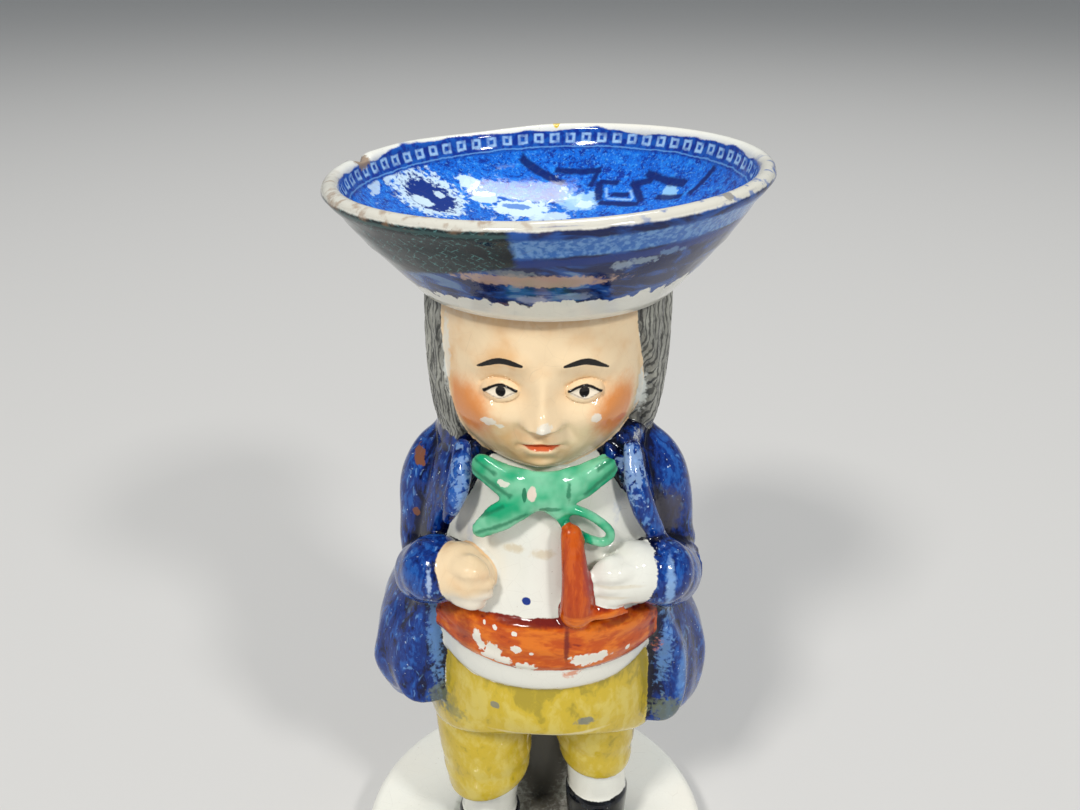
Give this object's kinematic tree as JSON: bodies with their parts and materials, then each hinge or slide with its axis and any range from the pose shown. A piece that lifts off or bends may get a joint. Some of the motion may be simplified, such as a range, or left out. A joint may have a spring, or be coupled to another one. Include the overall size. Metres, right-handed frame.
{
  "type": "figural salt cellar",
  "caption": "Glazed earthenware salt cellar: a squat standing man in a tail coat carries a wide open bowl on his head, on a round flat base.",
  "frame": {"origin": "middle of the underside of the round base", "axes": "+Z upright, the man faces -Y, +X to the viewer's right as they face him"},
  "size_m": [0.074, 0.074, 0.1539],
  "materials": {
    "glazed_earthenware": "glossy lead glaze over underglaze and enamel colours, crazed and worn"
  },
  "bodies": {
    "root": {"figural_salt_cellar": "glazed_earthenware"}
  },
  "joints": []
}
